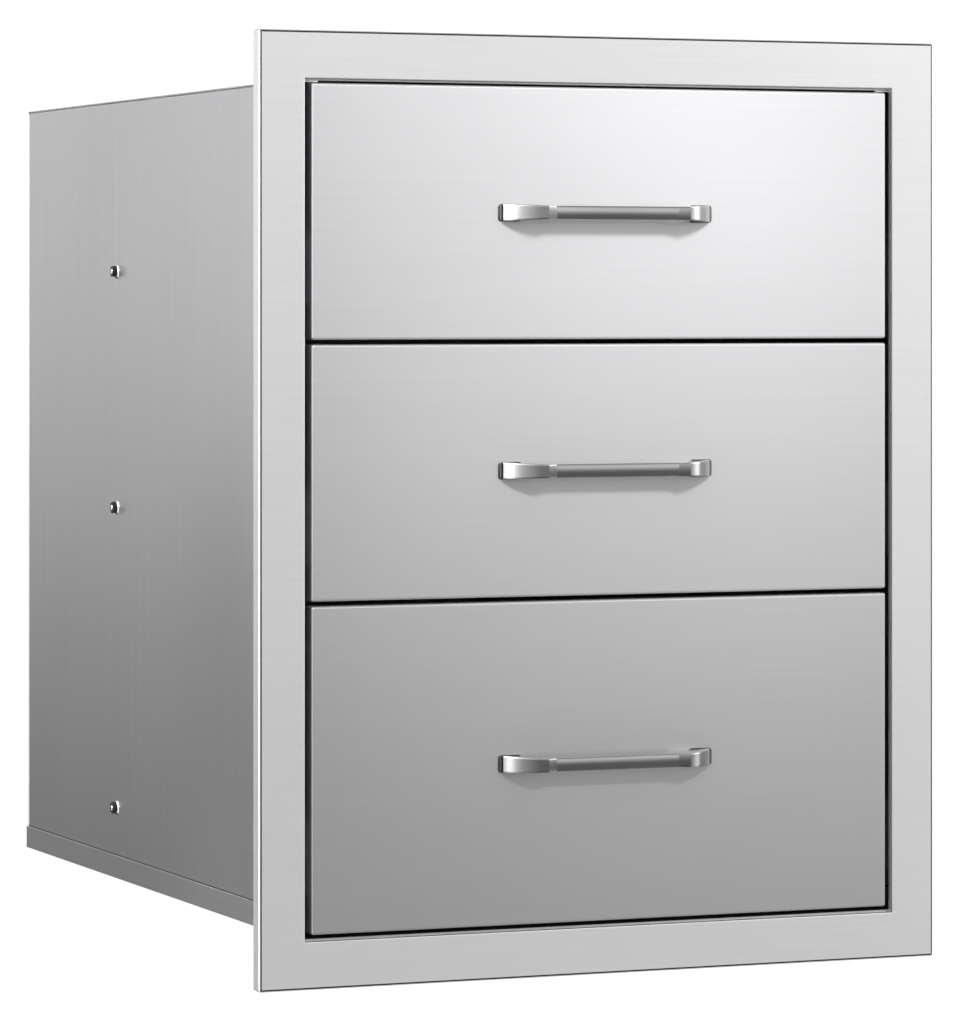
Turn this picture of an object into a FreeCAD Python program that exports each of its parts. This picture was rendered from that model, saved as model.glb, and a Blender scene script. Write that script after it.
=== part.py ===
import FreeCAD, Part
import math
import os

# An outdoor kitchen drawer unit with three drawers, all sizes in millimetres.
# X runs to the right, Y runs back into the island and Z runs up.
# The origin is on the centre line, on the underside of the base, in the plane of the face
# frame's rear bearing edge: the line where the sill and the front of the cut-out meet.

V = FreeCAD.Vector
os.makedirs("parts", exist_ok=True)

# Face frame: one sheet with its outer edge folded back and its opening hemmed.
frame_width = 457.2
frame_height = 584.2
frame_border = 29.6
frame_sheet = 1.2
frame_return = 12.0
frame_lip = 9.0
frame_hem = 4.4
frame_edge_radius = 1.6
hem_edge_radius = 1.6

# Enclosure behind the frame: two sides, top, rear and a base tray that wraps their feet.
enclosure_depth = 571.5
panel_sheet = 1.0
panel_flange = 12.0
side_front_flange = 11.0
front_flange = 10.0
base_lip = 15.0
bend_radius = 0.5

# Drawer fronts: a folded skin and a flat liner that closes its back.
front_gap_side = 4.3
front_gap_top = 2.5
front_gap_between = 2.9
front_gap_bottom = 3.8
shallow_front_height = 156.5
front_depth = 20.0
front_sheet = 1.0
front_edge_radius = 1.4
front_lip = 10.0
liner_sheet = 0.8
liner_margin = 1.5

# Drawer trays: folded sheet with hemmed top edges.
tray_sheet = 0.8
tray_rise = 10.0
tray_headroom = 34.3
tray_hem = 9.0
tray_hem_gap = 0.4
tray_end_drop = 6.0
tray_corner_radius = 1.5

# Telescopic slides: three nested members a side, with balls in two cages between them.
slide_height = 45.0
slide_width = 12.7
slide_sheet = 1.2
slide_setback = 10.0
slide_length = 500.0
slide_above_front_edge = 43.8
middle_web_offset = 3.7
ball_radius = 1.5
ball_clearance = 0.05
race_angle = 30.0
race_depth = 0.6
lip_corner_cut = 0.585
outer_ball_offset = 6.775
member_edge_gap = 1.3
inner_member_reach = 6.3
cage_sheet = 0.6
cage_length = 190.0
cage_end_margin = 12.0
cage_gap = 0.3
cage_lip = 1.6
pockets_per_strip = 4
bumper_thickness = 7.0
bumper_gap = 0.3
bumper_height = 20.0

# Bolts and flange nuts that fix the slides to the sides.
bar_faces = 12
bolt_radius = 2.0
bolt_hole_radius = 2.15
bolt_head_radius = 4.0
bolt_head_height = 1.2
bolt_end_reach = 0.5
bolt_distances = (35.0, 342.0)
nut_across_flats = 7.0
nut_height = 4.2
nut_flange_radius = 5.0
nut_flange_height = 1.0
thread_clearance = 0.05

# Handles: a cast bow on two low round feet, set a little left of the middle.
handle_length = 139.2
handle_offset = -3.0
handle_hole_spacing = 128.0
handle_post_radius = 4.5
handle_post_height = 1.2
handle_end_height = 8.0
handle_crest_height = 28.5
handle_crest_spacing = 94.0
handle_grip_height = 25.5
handle_grip_length = 81.6
handle_back_height = 19.3
handle_grip_width = 8.3
handle_end_width = 10.4
handle_screw_radius = 2.0
handle_screw_hole_radius = 2.15
handle_screw_head_radius = 4.0
handle_screw_head_height = 2.4
handle_screw_bite = 9.0

# Planes and heights that follow from the sizes above.
face_y = -frame_return
opening_width = frame_width - 2 * frame_border
opening_height = frame_height - 2 * frame_border
rear_y = face_y + enclosure_depth
hem_y = face_y + frame_hem
wall_x = opening_width / 2 + frame_sheet
side_x = wall_x + panel_sheet
front_width = opening_width - 2 * front_gap_side
front_rear_y = face_y + front_depth
tray_y = front_rear_y + liner_sheet
tray_half_width = wall_x - slide_width
tray_length = slide_length
stack_height = opening_height - front_gap_top - front_gap_bottom - 2 * front_gap_between
deep_front_height = stack_height - 2 * shallow_front_height
race_radius = ball_radius + ball_clearance + slide_sheet / 2

# Front height, tray height and lower edge of the front of each drawer, from the top down.
front_heights = [shallow_front_height, shallow_front_height, deep_front_height]
tray_heights = [height - tray_rise - tray_headroom for height in front_heights]
front_levels = []
next_top = opening_height - front_gap_top
for height in front_heights:
    front_levels.append(next_top - height)
    next_top = front_levels[-1] - front_gap_between
slide_levels = [level + slide_above_front_edge for level in front_levels]
sides = {"left": -1, "right": 1}


def save(shape, node):
    shape.exportStep("parts/" + node + ".step")


def box(x0, x1, y0, y1, z0, z1):
    return Part.makeBox(x1 - x0, y1 - y0, z1 - z0, V(x0, y0, z0))


# A straight bar whose outline is a regular polygon with its corners on the given radius.
def polygon_bar(sides, radius, length, start, direction):
    across = V(0, 0, 1)
    third = direction.cross(across)
    points = []
    for step in range(sides + 1):
        angle = 2 * math.pi * step / sides
        points.append(start + across * (radius * math.cos(angle)) + third * (radius * math.sin(angle)))
    return Part.Face(Part.makePolygon(points)).extrude(direction * length)


# Small round bars and holes that repeat, with few faces.
def bar(radius, length, start, direction):
    return polygon_bar(bar_faces, radius, length, start, direction)


def joined(solids):
    return solids[0].multiFuse(solids[1:]).removeSplitter()


# Position and unit direction of the line from one corner of a fold line to the next.
def heading(a, b):
    length = math.hypot(b[0] - a[0], b[1] - a[1])
    return ((b[0] - a[0]) / length, (b[1] - a[1]) / length)


# One face of a folded sheet as a list of lines and arcs in the plane of the fold line.
# Each corner is (across, up, radius at mid sheet); the face lies offset to the left of the line.
def face_line(corners, offset):
    pieces = []
    first = corners[0]
    into = heading(first, corners[1])
    last = (first[0] - into[1] * offset, first[1] + into[0] * offset)
    for before, corner, after in zip(corners, corners[1:], corners[2:]):
        into = heading(before, corner)
        out = heading(corner, after)
        turn = math.atan2(into[0] * out[1] - into[1] * out[0], into[0] * out[0] + into[1] * out[1])
        reach = abs(math.tan(turn / 2)) * corner[2]
        side = math.copysign(1.0, turn)
        if corner[2] == 0:
            half = 1 + into[0] * out[0] + into[1] * out[1]
            miter = ((-into[1] - out[1]) / half, (into[0] + out[0]) / half)
            bend = (corner[0] + miter[0] * offset, corner[1] + miter[1] * offset)
            pieces.append((last, bend))
            last = bend
            continue
        start = (corner[0] - into[0] * reach, corner[1] - into[1] * reach)
        centre = (start[0] - into[1] * corner[2] * side, start[1] + into[0] * corner[2] * side)
        radius = corner[2] - offset * side
        arc = []
        for share in (0.0, 0.5, 1.0):
            angle = turn * share
            spoke = (into[1] * side * radius, -into[0] * side * radius)
            arc.append((centre[0] + spoke[0] * math.cos(angle) - spoke[1] * math.sin(angle),
                        centre[1] + spoke[0] * math.sin(angle) + spoke[1] * math.cos(angle)))
        pieces.append((last, arc[0]))
        pieces.append(tuple(arc))
        last = arc[2]
    out = heading(corners[-2], corners[-1])
    end = (corners[-1][0] - out[1] * offset, corners[-1][1] + out[0] * offset)
    pieces.append((last, end))
    return [piece for piece in pieces if math.dist(piece[0], piece[-1]) > 1e-6]


# A folded sheet: its fold line is thickened to both sides and drawn out along its length.
# origin, across and up place the plane of the fold line; length is a vector.
def folded_sheet(corners, sheet, origin, across, up, length):
    left = face_line(corners, sheet / 2)
    right = [piece[::-1] for piece in reversed(face_line(corners, -sheet / 2))]
    outline = left + [(left[-1][-1], right[0][0])] + right + [(right[-1][-1], left[0][0])]
    edges = []
    for piece in outline:
        points = [origin + across * p[0] + up * p[1] for p in piece]
        if len(points) == 2:
            edges.append(Part.makeLine(points[0], points[1]))
        else:
            edges.append(Part.Arc(*points).toShape())
    return Part.Face(Part.Wire(edges)).extrude(length)


# A shallow pan of folded sheet that faces forward: its edges are folded back round a radius.
def pan(x0, x1, y0, y1, z0, z1, sheet, radius):
    block = box(x0, x1, y0, y1, z0, z1)
    front_edges = [edge for edge in block.Edges
                   if all(abs(vertex.Point.y - y0) < 1e-6 for vertex in edge.Vertexes)]
    inside = box(x0 + sheet, x1 - sheet, y0 + sheet, y1 + sheet, z0 + sheet, z1 - sheet)
    return block.makeFillet(radius, front_edges).cut(inside)


# A flat rectangular ring of sheet, such as a lip that is turned in all round.
def ring(x0, x1, y0, y1, z0, z1, width):
    hole = box(x0 + width, x1 - width, y0 - 1, y1 + 1, z0 + width, z1 - width)
    return box(x0, x1, y0, y1, z0, z1).cut(hole)


def face_frame():
    half = frame_width / 2
    low = -frame_border
    high = low + frame_height
    body = pan(-half, half, face_y, 0, low, high, frame_sheet, frame_edge_radius)
    lip = ring(-half + frame_sheet / 2, half - frame_sheet / 2, -frame_sheet, 0,
               low + frame_sheet / 2, high - frame_sheet / 2, frame_lip)
    hem = box(-wall_x, wall_x, face_y + frame_sheet / 2, hem_y, -frame_sheet, opening_height + frame_sheet)
    opening = box(-opening_width / 2, opening_width / 2, face_y - 1, 1, 0, opening_height)
    body = joined([body, lip, hem]).cut(opening)
    edges = []
    for edge in body.Edges:
        ends = [vertex.Point for vertex in edge.Vertexes]
        on_face = all(abs(p.y - face_y) < 1e-6 for p in ends)
        on_opening = all(abs(p.x) < wall_x and -frame_sheet < p.z < opening_height + frame_sheet
                         for p in ends)
        if on_face and on_opening:
            edges.append(edge)
    save(body.makeFillet(hem_edge_radius, edges), "face_frame")


# Where the bolts of one slide lie, from front to back, on the inner face of its outer member.
def slide_bolt_seats(side, level):
    return [V(side * (wall_x - slide_sheet), slide_setback + distance, level)
            for distance in bolt_distances]


# A plate with the holes for one slide's bolts, which run across the web and the wall.
def bolted(plate, side, level):
    for seat in slide_bolt_seats(side, level):
        start = seat - V(side, 0, 0)
        plate = plate.cut(bar(bolt_hole_radius, slide_sheet + panel_sheet + 2, start, V(side, 0, 0)))
    return plate


# A side panel: its front edge turns outward behind the frame's face, its rear edge turns
# inward against the rear panel and its top edge turns inward under the top panel.
def side_panel(name):
    side = sides[name]
    mid = panel_sheet / 2
    radius = bend_radius + mid
    relief = bend_radius + panel_sheet
    front = face_y + frame_sheet
    back = rear_y - 2 * panel_sheet
    high = opening_height - panel_sheet
    plan = [
        (side_x + side_front_flange, front + mid, 0),
        (side_x - mid, front + mid, radius),
        (side_x - mid, back - mid, radius),
        (side_x - panel_flange, back - mid, 0),
    ]
    wall = folded_sheet(plan, panel_sheet, V(0, 0, panel_sheet), V(side, 0, 0), V(0, 1, 0),
                        V(0, 0, high - relief - panel_sheet))
    section = [
        (side_x - mid, panel_sheet, 0),
        (side_x - mid, high - mid, radius),
        (side_x - panel_flange, high - mid, 0),
    ]
    top = folded_sheet(section, panel_sheet, V(0, hem_y, 0), V(side, 0, 0), V(0, 0, 1),
                       V(0, back - relief - hem_y, 0))
    panel = joined([wall, top])
    for level in slide_levels:
        panel = bolted(panel, side, level)
    save(panel, "side_panel_" + name)


# The top panel lies on the side panels' flanges. Its front edge turns up behind the
# frame's hem and its rear edge turns down over the rear panel.
def top_panel():
    mid = panel_sheet / 2
    profile = [
        (hem_y + mid, opening_height + front_flange, 0),
        (hem_y + mid, opening_height - mid, 0),
        (rear_y - mid, opening_height - mid, 0),
        (rear_y - mid, opening_height - base_lip, 0),
    ]
    save(folded_sheet(profile, panel_sheet, V(-side_x, 0, 0), V(0, 1, 0), V(0, 0, 1),
                      V(2 * side_x, 0, 0)), "top_panel")


def rear_panel():
    save(box(-side_x, side_x, rear_y - 2 * panel_sheet, rear_y - panel_sheet,
             panel_sheet, opening_height - panel_sheet), "rear_panel")


# The base tray wraps the feet of the side and rear panels with a lip on three sides, and
# its front edge turns down behind the frame's hem.
def base_tray():
    mid = panel_sheet / 2
    across = [
        (-side_x - mid, base_lip, 0),
        (-side_x - mid, mid, 0),
        (side_x + mid, mid, 0),
        (side_x + mid, base_lip, 0),
    ]
    floor = folded_sheet(across, panel_sheet, V(0, hem_y, 0), V(1, 0, 0), V(0, 0, 1),
                         V(0, rear_y - hem_y, 0))
    along = [
        (hem_y + mid, -front_flange, 0),
        (hem_y + mid, mid, 0),
        (rear_y - mid, mid, 0),
        (rear_y - mid, base_lip, 0),
    ]
    lips = folded_sheet(along, panel_sheet, V(-side_x, 0, 0), V(0, 1, 0), V(0, 0, 1), V(2 * side_x, 0, 0))
    save(joined([floor, lips]), "base_tray")


# Fold lines of the three slide members for the upper half of the section, from the web to
# the free edge. Across is measured from the enclosure's wall and up from the slide's middle.
def race_corner(ball_up, outward):
    return ball_up + outward * race_radius / math.cos(math.radians(race_angle))


def race_half_width():
    rise = race_radius / math.cos(math.radians(race_angle)) - race_radius + race_depth
    return rise / math.tan(math.radians(race_angle))


outer_ball_up = slide_height / 2 - slide_sheet / 2 - race_radius
inner_ball_offset = outer_ball_offset + 2 * race_radius * math.sin(math.radians(race_angle))
inner_ball_up = race_corner(outer_ball_up, -1) - race_radius / math.cos(math.radians(race_angle))
inner_ball_up += (inner_ball_offset - outer_ball_offset) * math.tan(math.radians(race_angle))


def outer_member_line():
    flange = outer_ball_up + race_radius - race_depth
    half = race_half_width()
    return [
        (slide_sheet / 2, flange, 0),
        (outer_ball_offset - half, flange, 0),
        (outer_ball_offset, race_corner(outer_ball_up, 1), race_radius),
        (outer_ball_offset + half, flange, 0),
        (slide_width - member_edge_gap, flange, 0),
    ]


def middle_member_line():
    flange = outer_ball_up - race_radius + race_depth
    lip_across = inner_ball_offset + race_radius
    shoulder = inner_ball_up + race_radius
    return [
        (middle_web_offset + slide_sheet / 2, flange, 0),
        (outer_ball_offset - race_half_width(), flange, 0),
        (outer_ball_offset, race_corner(outer_ball_up, -1), race_radius),
        (inner_ball_offset - race_radius * math.tan(math.radians(race_angle / 2)), shoulder, 0),
        (lip_across - race_radius * lip_corner_cut, shoulder, 0),
        (lip_across, shoulder - race_radius * lip_corner_cut, 0),
        (lip_across, inner_ball_up, 0),
    ]


def inner_member_line():
    flange = inner_ball_up - race_radius + race_depth
    half = race_half_width()
    return [
        (slide_width - slide_sheet / 2, flange, 0),
        (inner_ball_offset + half, flange, 0),
        (inner_ball_offset, race_corner(inner_ball_up, -1), race_radius),
        (inner_ball_offset - half, flange, 0),
        (inner_member_reach, flange, 0),
    ]


def slide_member(half_line, sheet, side, level, start, length):
    lower = [(across, -up, radius) for across, up, radius in reversed(half_line)]
    return folded_sheet(lower + half_line, sheet, V(side * wall_x, start, level), V(-side, 0, 0),
                        V(0, 0, 1), V(0, length, 0))


# The three members of one slide. The outer one ends in a tab that backs the rubber bumper.
def slide_members(name, number):
    side = sides[name]
    level = slide_levels[number - 1]
    outer_length = slide_length + bumper_gap + bumper_thickness + slide_sheet
    outer = slide_member(outer_member_line(), slide_sheet, side, level, slide_setback, outer_length)
    inward = sorted([side * (wall_x - slide_sheet), side * (wall_x - slide_width + member_edge_gap)])
    end = slide_setback + outer_length
    tab = box(inward[0], inward[1], end - slide_sheet, end, level - bumper_height / 2,
              level + bumper_height / 2)
    outer = bolted(joined([outer, tab]), side, level)
    save(outer, "slide_outer_%s_%d" % (name, number))
    middle = slide_member(middle_member_line(), slide_sheet, side, level, slide_setback, slide_length)
    save(middle, "slide_middle_%s_%d" % (name, number))
    inner = slide_member(inner_member_line(), slide_sheet, side, level, slide_setback, slide_length)
    save(inner, "slide_inner_%s_%d" % (name, number))


# A ball cage: a thin channel whose two strips hold the balls in pockets.
def ball_cage(side, level, web_across, strip_up, strip_end, ball_across):
    half_line = [(web_across, strip_up, 0), (strip_end, strip_up, 0)]
    middle = slide_setback + slide_length / 2
    cage = slide_member(half_line, cage_sheet, side, level, middle - cage_length / 2, cage_length)
    pitch = (cage_length - 2 * cage_end_margin) / (pockets_per_strip - 1)
    pocket = ball_radius + ball_clearance
    x = side * (wall_x - ball_across)
    for place in range(pockets_per_strip):
        y = middle + (place - (pockets_per_strip - 1) / 2) * pitch
        cage = cage.cut(box(x - pocket, x + pocket, y - pocket, y + pocket,
                            level - slide_height, level + slide_height))
    return cage


def ball_cages(number):
    level = slide_levels[number - 1]
    outer_web = middle_web_offset - cage_gap - cage_sheet / 2
    inner_web = middle_web_offset + slide_sheet + cage_gap + cage_sheet / 2
    outer = [ball_cage(side, level, outer_web, outer_ball_up, outer_ball_offset + ball_radius + cage_lip,
                       outer_ball_offset) for side in sides.values()]
    inner = [ball_cage(side, level, inner_web, inner_ball_up, inner_ball_offset + ball_radius,
                       inner_ball_offset) for side in sides.values()]
    save(Part.makeCompound(outer), "ball_cages_outer_%d" % number)
    save(Part.makeCompound(inner), "ball_cages_inner_%d" % number)


def slide_bumpers():
    blocks = []
    start = slide_setback + slide_length + bumper_gap
    for side in sides.values():
        inward = sorted([side * (wall_x - slide_sheet), side * (wall_x - slide_width + member_edge_gap)])
        for level in slide_levels:
            blocks.append(box(inward[0], inward[1], start, start + bumper_thickness,
                              level - bumper_height / 2, level + bumper_height / 2))
    save(Part.makeCompound(blocks), "slide_bumpers")


# The bolts that hold the outer slide members, with low heads inside and nuts outside.
def slide_bolts():
    bolts = []
    nuts = []
    for side in sides.values():
        for level in slide_levels:
            for seat in slide_bolt_seats(side, level):
                reach = slide_sheet + panel_sheet + nut_height + bolt_end_reach
                head = bar(bolt_head_radius, bolt_head_height, seat, V(-side, 0, 0))
                shank = bar(bolt_radius, reach, seat, V(side, 0, 0))
                bolts.append(joined([head, shank]))
                nuts.append(flange_nut(side, seat.y, level))
    save(Part.makeCompound(bolts), "slide_bolts")
    save(Part.makeCompound(nuts), "flange_nuts")


def flange_nut(side, y, level):
    seat = V(side * side_x, y, level)
    outward = V(side, 0, 0)
    hexagon = polygon_bar(6, nut_across_flats / math.sqrt(3), nut_height, seat, outward)
    flange = bar(nut_flange_radius, nut_flange_height, seat, outward)
    bore = bar(bolt_radius + thread_clearance, nut_height + 2, seat - outward, outward)
    return joined([hexagon, flange]).cut(bore)


def handle_screw_centres(number):
    height = front_levels[number - 1] + front_heights[number - 1] / 2
    return [V(handle_offset + x, 0, height) for x in (-handle_hole_spacing / 2, handle_hole_spacing / 2)]


def drawer_front(number):
    half = front_width / 2
    low = front_levels[number - 1]
    high = low + front_heights[number - 1]
    skin = pan(-half, half, face_y, front_rear_y, low, high, front_sheet, front_edge_radius)
    inset = front_sheet / 2
    lip = ring(-half + inset, half - inset, front_rear_y - front_sheet, front_rear_y,
               low + inset, high - inset, front_lip)
    skin = joined([skin, lip])
    plate = box(-half + liner_margin, half - liner_margin, front_rear_y, tray_y,
                low + liner_margin, high - liner_margin)
    for centre in handle_screw_centres(number):
        start = V(centre.x, face_y - 1, centre.z)
        skin = skin.cut(bar(handle_screw_hole_radius, front_sheet + 2, start, V(0, 1, 0)))
    save(skin, "drawer_front_%d" % number)
    save(plate, "front_liner_%d" % number)


def drawer_tray(number):
    mid = tray_sheet / 2
    low = front_levels[number - 1] + tray_rise
    high = low + tray_heights[number - 1]
    leg = tray_half_width - mid - tray_hem_gap - tray_sheet
    half_line = [
        (tray_half_width - mid, low + mid, tray_corner_radius + mid),
        (tray_half_width - mid, high - mid, 0),
        (leg, high - mid, 0),
        (leg, high - tray_hem, 0),
    ]
    left_line = [(-across, up, radius) for across, up, radius in reversed(half_line)]
    body = folded_sheet(left_line + half_line, tray_sheet, V(0, tray_y, 0), V(1, 0, 0), V(0, 0, 1),
                        V(0, tray_length, 0))
    inside = tray_half_width - mid
    walls = [box(-inside, inside, y, y + tray_sheet, low + mid, high - tray_end_drop)
             for y in (tray_y, tray_y + tray_length - tray_sheet)]
    tray = joined([body] + walls)
    save(tray, "drawer_tray_%d" % number)


# The handle's outline seen from above, from the drawer's face outwards: flat feet, ends that
# sweep up in arcs to two crests, and a straight grip set a little lower between them.
def handle_outline():
    end = handle_length / 2
    crest = handle_crest_spacing / 2
    grip = handle_grip_length / 2
    run = end - crest
    rise = handle_crest_height - handle_end_height
    radius = (run * run + rise * rise) / (2 * rise)
    centre = handle_crest_height - radius
    inner_radius = handle_back_height - centre
    half_turn = math.asin(run / radius) if centre < handle_end_height else math.pi / 2
    bulge = (crest + radius * math.sin(half_turn / 2), centre + radius * math.cos(half_turn / 2))
    drop = centre - handle_post_height
    foot = crest + math.sqrt(inner_radius ** 2 - drop ** 2)
    inner_turn = math.pi / 2 + math.asin(drop / inner_radius)
    inner_bulge = (crest + inner_radius * math.sin(inner_turn / 2),
                   centre + inner_radius * math.cos(inner_turn / 2))
    return [
        ((end, handle_post_height), (end, handle_end_height)),
        ((end, handle_end_height), bulge, (crest, handle_crest_height)),
        ((crest, handle_crest_height), (grip, handle_grip_height)),
        ((grip, handle_grip_height), (-grip, handle_grip_height)),
    ], [
        ((-crest, handle_back_height), (crest, handle_back_height)),
        ((crest, handle_back_height), inner_bulge, (foot, handle_post_height)),
        ((foot, handle_post_height), (end, handle_post_height)),
    ]


def handle(number):
    middle = front_levels[number - 1] + front_heights[number - 1] / 2
    front_half, back_half = handle_outline()
    mirrored = [tuple((-x, out) for x, out in reversed(piece)) for piece in reversed(front_half[:3])]
    back_left = [tuple((-x, out) for x, out in reversed(piece)) for piece in reversed(back_half[1:])]
    pieces = front_half + mirrored + back_left + back_half
    edges = []
    for piece in pieces:
        points = [V(handle_offset + x, face_y - out, middle - handle_end_width / 2) for x, out in piece]
        if len(points) == 2:
            edges.append(Part.makeLine(points[0], points[1]))
        else:
            edges.append(Part.Arc(*points).toShape())
    bow = Part.Face(Part.Wire(edges)).extrude(V(0, 0, handle_end_width))
    end = handle_length / 2
    crest = handle_crest_spacing / 2
    silhouette = []
    for x, width in ((-end, handle_end_width), (-crest, handle_grip_width), (crest, handle_grip_width),
                     (end, handle_end_width)):
        silhouette.append(V(handle_offset + x, face_y, middle + width / 2))
    for x, width in ((end, handle_end_width), (crest, handle_grip_width), (-crest, handle_grip_width),
                     (-end, handle_end_width)):
        silhouette.append(V(handle_offset + x, face_y, middle - width / 2))
    silhouette.append(silhouette[0])
    side_cut = Part.Face(Part.makePolygon(silhouette)).extrude(V(0, -handle_crest_height - 1, 0))
    bow = bow.common(side_cut)
    posts = []
    bores = []
    for centre in handle_screw_centres(number):
        start = V(centre.x, face_y, centre.z)
        posts.append(bar(handle_post_radius, handle_post_height, start, V(0, -1, 0)))
        bores.append(bar(handle_screw_radius + thread_clearance, handle_screw_bite + 1, start, V(0, -1, 0)))
    body = joined([bow] + posts)
    for bore in bores:
        body = body.cut(bore)
    save(body, "handle_%d" % number)


def handle_screws(number):
    screws = []
    seat = face_y + front_sheet
    for centre in handle_screw_centres(number):
        start = V(centre.x, seat, centre.z)
        head = bar(handle_screw_head_radius, handle_screw_head_height, start, V(0, 1, 0))
        shank = bar(handle_screw_radius, seat - face_y + handle_screw_bite, start, V(0, -1, 0))
        screws.append(joined([head, shank]))
    save(Part.makeCompound(screws), "handle_screws_%d" % number)


face_frame()
for name in sides:
    side_panel(name)
top_panel()
rear_panel()
base_tray()
slide_bolts()
slide_bumpers()
for number in (1, 2, 3):
    drawer_front(number)
    drawer_tray(number)
    handle(number)
    handle_screws(number)
    ball_cages(number)
    for name in sides:
        slide_members(name, number)
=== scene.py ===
import bmesh
import bpy
import math
from mathutils import Matrix, Vector


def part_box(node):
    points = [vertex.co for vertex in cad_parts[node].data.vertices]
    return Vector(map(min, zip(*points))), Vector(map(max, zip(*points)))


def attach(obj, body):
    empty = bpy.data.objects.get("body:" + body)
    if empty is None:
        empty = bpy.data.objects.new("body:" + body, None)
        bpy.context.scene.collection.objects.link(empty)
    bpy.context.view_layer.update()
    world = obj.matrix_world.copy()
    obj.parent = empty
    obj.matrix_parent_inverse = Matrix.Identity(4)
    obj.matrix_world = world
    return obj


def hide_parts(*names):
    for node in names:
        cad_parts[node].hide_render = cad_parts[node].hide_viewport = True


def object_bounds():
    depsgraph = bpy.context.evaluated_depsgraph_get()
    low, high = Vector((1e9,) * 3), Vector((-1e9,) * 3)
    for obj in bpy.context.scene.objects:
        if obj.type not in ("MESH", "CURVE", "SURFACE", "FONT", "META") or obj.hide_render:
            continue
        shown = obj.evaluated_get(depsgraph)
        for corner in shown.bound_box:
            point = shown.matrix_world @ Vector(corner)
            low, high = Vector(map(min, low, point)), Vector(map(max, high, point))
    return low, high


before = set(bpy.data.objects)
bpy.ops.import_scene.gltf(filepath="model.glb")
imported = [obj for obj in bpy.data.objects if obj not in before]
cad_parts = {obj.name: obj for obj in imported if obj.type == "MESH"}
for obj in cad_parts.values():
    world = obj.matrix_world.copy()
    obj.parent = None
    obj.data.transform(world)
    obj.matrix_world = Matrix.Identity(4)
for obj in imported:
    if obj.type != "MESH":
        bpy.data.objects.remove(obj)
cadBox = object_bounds()
print("stage 1: frame loaded,", len(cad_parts), "nodes")

mm = 0.001
drawers = (1, 2, 3)
sides = {"left": -1, "right": 1}

slideWall = 1.2 * mm  # sheet of the slide members
panelWall = 1.0 * mm  # sheet of the enclosure's sides
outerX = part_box("slide_outer_right_1")[1].x  # where the slides lie against the sides
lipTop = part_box("base_tray")[1].z


def middleZ(node):
    low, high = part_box(node)
    return (low.z + high.z) / 2


# shader maths

class Value:
    def __init__(self, finish, socket):
        self.finish = finish
        self.socket = socket

    def maths(self, operation, left, right):
        return self.finish.value("ShaderNodeMath", {"operation": operation}, {0: left, 1: right})

    def __add__(self, other):
        return self.maths("ADD", self, other)

    def __radd__(self, other):
        return self.maths("ADD", other, self)

    def __sub__(self, other):
        return self.maths("SUBTRACT", self, other)

    def __rsub__(self, other):
        return self.maths("SUBTRACT", other, self)

    def __mul__(self, other):
        return self.maths("MULTIPLY", self, other)

    def __rmul__(self, other):
        return self.maths("MULTIPLY", other, self)

    def __truediv__(self, other):
        return self.maths("DIVIDE", self, other)

    def __rtruediv__(self, other):
        return self.maths("DIVIDE", other, self)


class Finish:
    def __init__(self, name):
        self.material = bpy.data.materials.new(name)
        self.material.use_nodes = True
        self.tree = self.material.node_tree
        self.tree.nodes.clear()
        self.output = self.node("ShaderNodeOutputMaterial", {}, {})
        self.place = self.value("ShaderNodeTexCoord", {}, {}, "Object")

    # settings go on first, then values or links of the inputs
    def node(self, kind, settings, inputs):
        node = self.tree.nodes.new(kind)
        for name, setting in settings.items():
            if name == "stops":
                elements = node.color_ramp.elements
                while len(elements) < len(setting):
                    elements.new(0.5)
                for element, (position, level) in zip(elements, setting):
                    element.position = position
                    element.color = (level, level, level, 1.0)
            else:
                setattr(node, name, setting)
        for name, given in inputs.items():
            if isinstance(given, Value):
                self.tree.links.new(given.socket, node.inputs[name])
            else:
                node.inputs[name].default_value = given
        return node

    # one output of a new node, ready for maths
    def value(self, kind, settings, inputs, output=0):
        return Value(self, self.node(kind, settings, inputs).outputs[output])

    def noise(self, scale, detail=2.0, roughness=0.5):
        stretched = self.value("ShaderNodeMapping", {"vector_type": "POINT"}, {"Vector": self.place,
                                                                               "Scale": scale})
        return self.value("ShaderNodeTexNoise", {}, {"Vector": stretched, "Scale": 1.0, "Detail": detail,
                                                     "Roughness": roughness})

    def ramp(self, value, stops):
        return self.value("ShaderNodeValToRGB", {"stops": stops}, {"Fac": value}, "Color")

    # inputs 6 and 7 and output 2 of a Mix node are its colours
    def mixed(self, share, first, second):
        first, second = (each if isinstance(each, Value) else (*each, 1.0) for each in (first, second))
        return self.value("ShaderNodeMix", {"data_type": "RGBA"}, {"Factor": share, 6: first, 7: second}, 2)

    def bump(self, height, strength, distance):
        return self.value("ShaderNodeBump", {}, {"Height": height, "Strength": strength,
                                                 "Distance": distance})

    def surface(self, kind, inputs):
        shader = self.node(kind, {}, inputs)
        self.tree.links.new(shader.outputs[0], self.output.inputs["Surface"])
        return self.material


# finishes

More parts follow.
